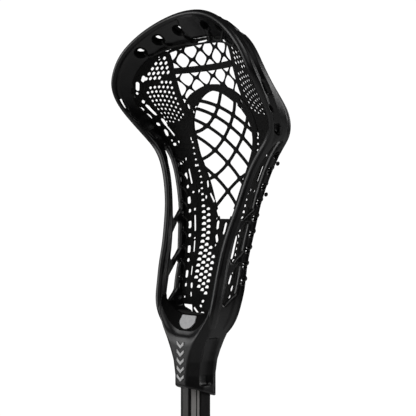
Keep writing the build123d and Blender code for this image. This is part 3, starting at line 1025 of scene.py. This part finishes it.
def make_strings():
    made = []
    for side, word in ((-1, "left"), (1, "right")):
        paths = [lacing_path(side)] + knot_paths(side)
        cord = tube_object(f"{word}_sidewall_lacing", [lifted(p) for p in paths], SIDE_STRING)
        made.append((cord, f"{word}_sidewall_string"))
    points = []
    for side in (-1, 1):
        places = SCOOP_HOLE_STATIONS if side < 0 else SCOOP_HOLE_STATIONS[::-1]
        for place in places:
            run = np.array([side * run_at_station(place)])
            t = np.array([0.67])
            hole, out = wall_frame(run, t)
            back = BACK_EDGE(run)[0]
            hole, out = hole[0], out[0]
            knit_x = back[0] * 0.93
            knit_z = float(top_line(knit_x)) - 1.0
            knit = pocket_place(np.array([knit_x]), np.array([knit_z]))[0]
            beside = np.array([side * 2.6, 0.0, side * 0.6])
            rim = back + out * 0.6 + np.array([0.0, 2.0, -1.2])
            inner = back * 0.55 + hole * 0.45 - out * 3.3
            through = hole + out * 1.0
            behind = hole * 0.3 + back * 0.7 + out * (1.4 + SCOOP_RIM)
            points += [knit - beside + np.array([0.0, -1.4, 0.0]), inner - beside * 0.5,
                       through, behind + beside * 0.5, rim + beside, knit + beside]
    top = tube_object("scoop_lacing", [lifted(smooth_path(points))], TOP_STRING)
    made.append((top, "top_string"))
    low = [
        (-21, 13.5, 17), (-15, 14.8, 14.6), (-8, 13.2, 15.6), (-3, 11.6, 14.6), (3, 12.6, 15.8),
        (8, 13.6, 14.6), (15, 14.4, 15.6), (21, 13.5, 17),
    ]
    bottom = tube_object("ball_stop_lacing", [lifted(smooth_path(low))], BOTTOM_STRING)
    made.append((bottom, "bottom_string"))
    return made


# ---- foam pad
def make_pad():
    """Crowned foam pad on the floor of the ball stop."""
    xs = np.linspace(-20.5, 20.5, 70)
    ys = np.linspace(-4.8, 8.2, 30)
    x, y = np.meshgrid(xs, ys, indexing="ij")
    depth = -rounded_box(x, y - 1.7, 19.8, 6.0, 3.0)

    def surface(px, py):
        points = np.stack([px, py, floor_height(px, py) + 0.25], axis=1)
        normal = np.tile([0.0, 0.0, 1.0], (len(px), 1))
        return lifted(points), normal, np.full(len(px), 1.5), np.full(len(px), 0.1)

    return sheet_object("ball_stop_foam", xs, ys, depth, 1.6, surface)


# ---- materials
def settings(node, values):
    for key, value in values.items():
        node.inputs[key].default_value = value


def material(name, color, roughness, metallic=0.0):
    made = bpy.data.materials.new(name)
    made.use_nodes = True
    shader = made.node_tree.nodes["Principled BSDF"]
    settings(shader, {"Base Color": (*color, 1), "Roughness": roughness, "Metallic": metallic})
    return made, made.node_tree, shader


def noise(tree, source, scale, detail=3.0):
    node = new_node(tree, "TexNoise")
    settings(node, {"Scale": scale, "Detail": detail})
    link(tree, source, node.inputs["Vector"])
    return node.outputs["Fac"]


def spread(tree, value, low, high):
    node = new_node(tree, "MapRange")
    settings(node, {"From Min": 0.3, "From Max": 0.7, "To Min": low, "To Max": high})
    link(tree, value, node.inputs["Value"])
    return node.outputs["Result"]


def shades(tree, value, dark, light):
    node = new_node(tree, "ValToRGB")
    node.color_ramp.elements[0].position = 0.3
    node.color_ramp.elements[0].color = (*dark, 1)
    node.color_ramp.elements[1].position = 0.7
    node.color_ramp.elements[1].color = (*light, 1)
    link(tree, value, node.inputs["Fac"])
    return node.outputs["Color"]


def bump(tree, shader, height, strength, distance):
    node = new_node(tree, "Bump")
    settings(node, {"Strength": strength, "Distance": distance})
    link(tree, height, node.inputs["Height"])
    link(tree, node.outputs["Normal"], shader.inputs["Normal"])
    return node


def new_node(tree, kind):
    return tree.nodes.new("ShaderNode" + kind)


def link(tree, output, socket):
    tree.links.new(output, socket)


def calc(tree, operation, a, b=None, c=None):
    node = new_node(tree, "Math")
    node.operation = operation
    for i, value in enumerate((a, b, c)):
        if value is None:
            continue
        if isinstance(value, (int, float)):
            node.inputs[i].default_value = value
        else:
            link(tree, value, node.inputs[i])
    return node.outputs[0]


def coordinates(tree):
    return new_node(tree, "TexCoord").outputs["Object"]


def nylon():
    made, tree, shader = material("moulded_nylon", (0.004, 0.004, 0.0045), 0.34)
    place = coordinates(tree)
    cloudy = noise(tree, place, 60.0)
    grain = noise(tree, place, 2600.0, 2.0)
    tone = shades(tree, cloudy, (0.0024, 0.0023, 0.0027), (0.0048, 0.0045, 0.0052))
    link(tree, tone, shader.inputs["Base Color"])
    link(tree, spread(tree, cloudy, 0.30, 0.42), shader.inputs["Roughness"])
    bump(tree, shader, grain, 0.25, 0.00012)
    return made


def knit():
    made, tree, shader = material("pocket_knit", (0.006, 0.006, 0.006), 0.85)
    shader.inputs["Sheen Weight"].default_value = 0.03
    shader.inputs["Specular IOR Level"].default_value = 0.3
    shader.inputs["Sheen Roughness"].default_value = 0.5
    place = new_node(tree, "UVMap")
    place.uv_map = "knit"
    split = new_node(tree, "SeparateXYZ")
    link(tree, place.outputs["UV"], split.inputs[0])
    across, up = split.outputs["X"], split.outputs["Y"]
    wobble = calc(tree, "SINE", calc(tree, "MULTIPLY", up, 2 * math.pi / 0.0016))
    lean = calc(tree, "MULTIPLY", wobble, 0.00028)
    moved = calc(tree, "ADD", across, lean)
    wale = calc(tree, "SINE", calc(tree, "MULTIPLY", moved, 2 * math.pi / 0.0015))
    course = calc(tree, "ABSOLUTE", wobble)
    height = calc(tree, "MULTIPLY_ADD", wale, 0.6, course)
    fuzz = noise(tree, coordinates(tree), 900.0)
    height = calc(tree, "MULTIPLY_ADD", fuzz, 0.7, height)
    # Colour follows the stitch relief and is darker in its low parts: the yarn's pattern, with
    # painted shade in the creases between stitches.
    tone = calc(tree, "MULTIPLY_ADD", height, 0.18, 0.32)
    color = shades(tree, tone, (0.0022, 0.0021, 0.0021), (0.0105, 0.0100, 0.0096))
    link(tree, color, shader.inputs["Base Color"])
    bump(tree, shader, height, 0.7, 0.0004)
    return made


def cord_fabric():
    made, tree, shader = material("string_cord", (0.006, 0.006, 0.006), 0.8)
    shader.inputs["Sheen Weight"].default_value = 0.04
    place = coordinates(tree)
    twist = new_node(tree, "TexWave")
    twist.bands_direction = "DIAGONAL"
    settings(twist, {"Scale": 330.0, "Distortion": 2.0})
    link(tree, place, twist.inputs["Vector"])
    strand = twist.outputs["Fac"]
    # Colour follows the twist and is darker in its low parts: the strands' own stripes, with
    # painted shade in the grooves between them.
    tone = shades(tree, strand, (0.0030, 0.0030, 0.0030), (0.0130, 0.0126, 0.0122))
    link(tree, tone, shader.inputs["Base Color"])
    bump(tree, shader, strand, 0.6, 0.0003)
    return made


def alloy():
    """Black anodised tube with reflections of lamps painted as stripes along two of its flats,
    the one on the front flat painted dimmer as shaded.
    """
    made, tree, shader = material("shaft_alloy", (0.02, 0.02, 0.02), 0.3)
    place = coordinates(tree)
    split = new_node(tree, "SeparateXYZ")
    link(tree, place, split.inputs[0])
    x, y = split.outputs["X"], split.outputs["Y"]
    # distance along the flat that faces between front and side
    diagonal = calc(tree, "MULTIPLY", calc(tree, "ADD", x, y), 0.70711)
    on_diagonal = calc(tree, "GREATER_THAN", calc(tree, "SUBTRACT", x, y), 0.0164)
    on_front = calc(tree, "LESS_THAN", y, -0.0116)

    def stripe(value, middle, half):
        far = calc(tree, "ABSOLUTE", calc(tree, "SUBTRACT", value, middle))
        return calc(tree, "LESS_THAN", far, half)

    # Painted reflections: a wide and a thin bright stripe on the diagonal flat, which faces the
    # light, and a dimmer grey one on the front flat, which gets less of it.
    wide = stripe(diagonal, -0.0008, 0.0020)
    thin = stripe(diagonal, 0.0030, 0.0009)
    diagonal_reflection_mask = calc(tree, "MULTIPLY", calc(tree, "ADD", wide, thin), on_diagonal)
    front = calc(tree, "MULTIPLY", stripe(x, 0.0009, 0.0031), on_front)
    brushed = new_node(tree, "Mapping")
    brushed.inputs["Scale"].default_value = (1.0, 1.0, 0.02)
    link(tree, place, brushed.inputs["Vector"])
    lines = noise(tree, brushed.outputs["Vector"], 2500.0)
    dark = shades(tree, lines, (0.0042, 0.0038, 0.0040), (0.0075, 0.0068, 0.0070))
    bright_painted_reflection = shades(tree, lines, (0.50, 0.485, 0.47), (0.62, 0.60, 0.585))
    dim_painted_reflection = shades(tree, lines, (0.075, 0.073, 0.071), (0.10, 0.097, 0.094))

    def painted(base, painted_light, mask):
        mix = new_node(tree, "Mix")
        mix.data_type = "RGBA"
        link(tree, mask, mix.inputs["Factor"])
        link(tree, base, mix.inputs["A"])
        link(tree, painted_light, mix.inputs["B"])
        return mix.outputs["Result"]

    colour = painted(painted(dark, bright_painted_reflection, diagonal_reflection_mask), dim_painted_reflection, front)
    link(tree, colour, shader.inputs["Base Color"])
    link(tree, spread(tree, lines, 0.26, 0.36), shader.inputs["Roughness"])
    bump(tree, shader, lines, 0.1, 0.00005)
    return made


def plain(name, dark, light, low, high, scale, metallic=0.0, strength=0.2):
    made, tree, shader = material(name, dark, low, metallic)
    place = coordinates(tree)
    cloudy = noise(tree, place, scale)
    fine = noise(tree, place, scale * 12)
    link(tree, shades(tree, cloudy, dark, light), shader.inputs["Base Color"])
    link(tree, spread(tree, cloudy, low, high), shader.inputs["Roughness"])
    bump(tree, shader, fine, strength, 0.0001)
    return made


def paint(piece, look):
    piece.data.materials.clear()
    piece.data.materials.append(look)


# ---- build
NYLON, KNIT, CORD = nylon(), knit(), cord_fabric()
# Darker matt nylon with almost no reflection: painted shade round the mouths of the scoop's
# holes, and in the bowl behind the lip a matt surface darkened further as painted shade.
MATT_SHADED_NYLON = plain("matt_nylon_painted_shade", (0.002, 0.002, 0.002), (0.0035, 0.0035, 0.0035), 0.6, 0.75, 500.0)
MATT_SHADED_NYLON.node_tree.nodes["Principled BSDF"].inputs["Specular IOR Level"].default_value = 0.06
FOAM = plain("pad_foam", (0.0035, 0.0035, 0.0035), (0.007, 0.007, 0.007), 0.8, 0.95, 700.0)
RUBBER = plain("cap_rubber", (0.006, 0.006, 0.006), (0.012, 0.012, 0.012), 0.6, 0.8, 300.0)
STEEL = plain("screw_steel", (0.35, 0.35, 0.36), (0.5, 0.5, 0.5), 0.25, 0.4, 500.0, 1.0)
SILVER = plain("badge_print", (0.50, 0.50, 0.52), (0.62, 0.62, 0.63), 0.3, 0.42, 400.0)
MARK = plain("mark_print", (0.80, 0.80, 0.80), (0.88, 0.88, 0.88), 0.45, 0.6, 400.0)

def stand_in(piece, node, look=None):
    """Puts a visual piece in the place of a CAD node."""
    if look:
        paint(piece, look)
    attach(piece, "root")
    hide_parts(node)


head = joined(make_wall([NYLON, MATT_SHADED_NYLON]), make_throat([NYLON, MATT_SHADED_NYLON]))
stand_in(head, "head_frame")

for piece, node, (width, length, area) in make_pocket():
    stand_in(piece, node, KNIT)

for piece, node in make_strings():
    stand_in(piece, node, CORD)

pad = make_pad()
stand_in(pad, "ball_stop_pad", FOAM)

CARRIED = {
    "shaft_tube": alloy(), "butt_cap": RUBBER, "head_screw": STEEL,
    "ball_stop_badge": SILVER, "throat_marks": MARK,
}
for node, look in CARRIED.items():
    paint(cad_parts[node], look)


# ---- stage
FLOOR_RADIUS = 3.0


def make_stage():
    """Round pale floor that turns white towards its rim, in a white studio."""
    bpy.ops.mesh.primitive_circle_add(vertices=96, radius=FLOOR_RADIUS, fill_type="NGON")
    floor = bpy.context.object
    floor.name = "floor"
    look, tree, shader = material("floor_paint", (0.85, 0.85, 0.85), 0.9)
    distance = new_node(tree, "VectorMath")
    distance.operation = "LENGTH"
    link(tree, coordinates(tree), distance.inputs[0])
    rays = new_node(tree, "LightPath")
    glow = new_node(tree, "MapRange")
    glow.interpolation_type = "SMOOTHSTEP"
    settings(glow, {"From Min": 0.1, "To Min": 0.3, "From Max": FLOOR_RADIUS - 0.4})
    link(tree, distance.outputs["Value"], glow.inputs["Value"])
    seen = calc(tree, "MULTIPLY", glow.outputs["Result"], rays.outputs["Is Camera Ray"])
    shader.inputs["Emission Color"].default_value = (1, 1, 1, 1)
    link(tree, seen, shader.inputs["Emission Strength"])
    paint(floor, look)
    world = bpy.data.worlds.new("studio")
    bpy.context.scene.world = world
    world.use_nodes = True
    tree = world.node_tree
    ambient = tree.nodes["Background"]
    settings(ambient, {"Color": (1, 1, 1, 1), "Strength": 0.02})
    backdrop = new_node(tree, "Background")
    settings(backdrop, {"Color": (1, 1, 1, 1), "Strength": 1.05})
    rays = new_node(tree, "LightPath")
    mix = new_node(tree, "MixShader")
    link(tree, rays.outputs["Is Camera Ray"], mix.inputs["Fac"])
    link(tree, ambient.outputs[0], mix.inputs[1])
    link(tree, backdrop.outputs[0], mix.inputs[2])
    link(tree, mix.outputs[0], tree.nodes["World Output"].inputs["Surface"])
    bpy.context.scene.view_settings.view_transform = "Standard"


def add_light(name, place, target, size, power):
    data = bpy.data.lights.new(name, "AREA")
    data.shape = "RECTANGLE"
    data.size, data.size_y = size
    data.energy = power
    light = placed(name, data)
    light.location = place
    light.rotation_euler = (Vector(target) - Vector(place)).to_track_quat("-Z", "Y").to_euler()


make_stage()
add_light("key", (-1.35, -1.25, 1.35), (0, 0, 0.95), (0.9, 1.5), 14)
add_light("front", (1.0, -1.6, 2.0), (0, 0, 0.95), (0.9, 0.9), 3)
add_light("side", (1.0, 1.9, 1.4), (0, 0, 0.95), (0.7, 1.6), 16)
add_light("top", (0.6, -0.5, 2.4), (0, 0, 1.0), (1.0, 1.0), 8)
